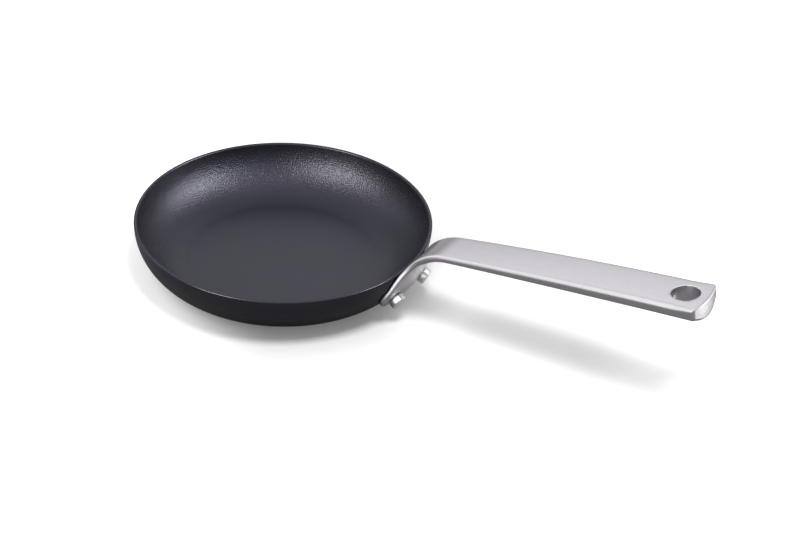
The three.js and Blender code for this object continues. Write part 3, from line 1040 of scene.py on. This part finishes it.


# White paper that keeps the shadow. The light it lacks for white is added for the eye only, and
# what the steel mirrors of it is a painted reflection, greyer at the front and lighter behind, around
# the handle's root and past its end. It is clear from below, and to what is mirrored from close by, so
# that the underside can be seen.
def floorPaper():
    material, tree = newMaterial("whitePaper")
    coords = addNode(tree, "ShaderNodeTexCoord").outputs["Object"]
    place = addNode(tree, "ShaderNodeSeparateXYZ", links={0: coords})
    fades = {}
    for name, fade in floorFades.items():
        if "along" in fade:
            measure = place.outputs[fade["along"]]
        else:
            measure = addNode(
                tree, "ShaderNodeVectorMath", {1: fade["around"]}, {0: coords},
                operation="DISTANCE").outputs["Value"]
        fades[name] = addNode(
            tree, "ShaderNodeMapRange", spans(fade["span"], fade["levels"]), {"Value": measure},
            interpolation_type="SMOOTHSTEP").outputs[0]
    lift = fades["left"]
    for name in ("right", "corner", "far"):
        lift = addNode(
            tree, "ShaderNodeMath", links={0: lift, 1: fades[name]}, operation="ADD").outputs[0]
    lift = addNode(
        tree, "ShaderNodeMath", links={0: fades["clearOfPan"], 1: lift, 2: fades["everywhere"]},
        operation="MULTIPLY_ADD").outputs[0]
    # painted reflection: the paper's grey as the steel mirrors it, set place by place
    paintedReflection = addNode(
        tree, "ShaderNodeMath", links={0: fades["end"], 1: fades["pastHole"]},
        operation="MULTIPLY").outputs[0]
    for name in ("root", "back"):
        paintedReflection = addNode(
            tree, "ShaderNodeMath", links={0: paintedReflection, 1: fades[name]}, operation="MAXIMUM").outputs[0]
    path = addNode(tree, "ShaderNodeLightPath")
    mirror = path.outputs["Is Glossy Ray"]
    seen = addNode(
        tree, "ShaderNodeMath",
        links={0: path.outputs["Is Camera Ray"], 1: path.outputs["Is Transmission Ray"]},
        operation="ADD", use_clamp=True)
    shown = addNode(
        tree, "ShaderNodeMath", links={0: mirror, 1: paintedReflection, 2: seen.outputs[0]},
        operation="MULTIPLY_ADD")
    strength = addNode(
        tree, "ShaderNodeMath", links={0: shown.outputs[0], 1: lift}, operation="MULTIPLY")
    mirrored = addNode(tree, "ShaderNodeCombineColor", links={0: paintedReflection, 1: paintedReflection, 2: paintedReflection})
    colour = addNode(
        tree, "ShaderNodeMix", {6: linear(studio["paper"])}, {0: mirror, 7: mirrored.outputs[0]},
        data_type="RGBA")
    paper = addNode(tree, "ShaderNodeBsdfDiffuse", links={"Color": colour.outputs[2]})
    glow = addNode(
        tree, "ShaderNodeEmission", {"Color": (1, 1, 1, 1)}, {"Strength": strength.outputs[0]})
    both = addNode(tree, "ShaderNodeAddShader", links={0: paper.outputs[0], 1: glow.outputs[0]})
    below = addNode(tree, "ShaderNodeNewGeometry").outputs["Backfacing"]
    near = addNode(
        tree, "ShaderNodeMath", {1: studio["openWithin"] * mm}, {0: path.outputs["Ray Length"]},
        operation="LESS_THAN")
    nearMirror = addNode(
        tree, "ShaderNodeMath", links={0: near.outputs[0], 1: mirror}, operation="MULTIPLY")
    opened = addNode(
        tree, "ShaderNodeMath", links={0: below, 1: nearMirror.outputs[0]}, operation="MAXIMUM")
    clear = addNode(tree, "ShaderNodeBsdfTransparent")
    sheet = addNode(
        tree, "ShaderNodeMixShader",
        links={0: opened.outputs[0], 1: both.outputs[0], 2: clear.outputs[0]})
    addNode(tree, "ShaderNodeOutputMaterial", links={"Surface": sheet.outputs[0]})
    return material


def domeCloth():
    material, tree = newMaterial("domeCloth")
    coords = addNode(tree, "ShaderNodeTexCoord").outputs["Object"]
    toward = addNode(tree, "ShaderNodeVectorMath", links={0: coords}, operation="NORMALIZE")
    axes = addNode(tree, "ShaderNodeSeparateXYZ", links={0: toward.outputs[0]})
    total = addNode(tree, "ShaderNodeValue").outputs[0]
    total.default_value = studio["domeLevel"]
    for panel in panels:
        share = addNode(tree, "ShaderNodeValue").outputs[0]
        share.default_value = panel["level"]
        for axis in "XYZ":
            if axis in panel:
                fade = addNode(
                    tree, "ShaderNodeMapRange", spans(panel[axis]), {"Value": axes.outputs[axis]},
                    interpolation_type="SMOOTHSTEP")
                share = addNode(
                    tree, "ShaderNodeMath", links={0: share, 1: fade.outputs[0]},
                    operation="MULTIPLY").outputs[0]
        total = addNode(tree, "ShaderNodeMath", links={0: total, 1: share}, operation="ADD").outputs[0]
    glow = addNode(tree, "ShaderNodeEmission", {"Color": (1, 1, 1, 1)}, {"Strength": total})
    addNode(tree, "ShaderNodeOutputMaterial", links={"Surface": glow.outputs[0]})
    return material


# A cloth dome around the set, which only the shiny surfaces see
def makeDome():
    deselectAll()
    segments = studio["domeSegments"]
    bpy.ops.mesh.primitive_uv_sphere_add(
        segments=segments, ring_count=segments // 2, radius=studio["domeRadius"])
    dome = bpy.context.object
    dome.name = "clothDome"
    dome.rotation_euler = (0, 0, math.radians(view["turn"]))
    dome.data.materials.append(domeCloth())
    dome.visible_camera = False
    dome.visible_diffuse = False
    dome.visible_transmission = False
    dome.visible_shadow = False


def makeWorld():
    world = bpy.data.worlds.new("whiteRoom")
    world.use_nodes = True
    tree = world.node_tree
    tree.nodes.clear()
    path = addNode(tree, "ShaderNodeLightPath")
    seen = addNode(
        tree, "ShaderNodeMath",
        links={0: path.outputs["Is Camera Ray"], 1: path.outputs["Is Glossy Ray"]}, operation="ADD")
    seenToo = addNode(
        tree, "ShaderNodeMath", links={0: seen.outputs[0], 1: path.outputs["Is Transmission Ray"]},
        operation="ADD", use_clamp=True)
    strength = addNode(
        tree, "ShaderNodeMapRange", spans((0, 1), (studio["ambient"], 1)),
        {"Value": seenToo.outputs[0]})
    room = addNode(
        tree, "ShaderNodeBackground", {"Color": (1, 1, 1, 1)}, {"Strength": strength.outputs[0]})
    addNode(tree, "ShaderNodeOutputWorld", links={"Surface": room.outputs[0]})
    bpy.context.scene.world = world


def makeFloor():
    deselectAll()
    bpy.ops.mesh.primitive_plane_add(
        size=studio["floorSize"], location=(0, 0, -studio["floorDrop"] * mm))
    floorSheet = bpy.context.object
    floorSheet.name = "floorSheet"
    floorSheet.rotation_euler = (0, 0, math.radians(view["turn"]))
    floorSheet.data.materials.append(floorPaper())


makeFloor()
makeLamps()
makeDome()
makeWorld()
bpy.context.scene.view_settings.view_transform = "Standard"
print("studio set")
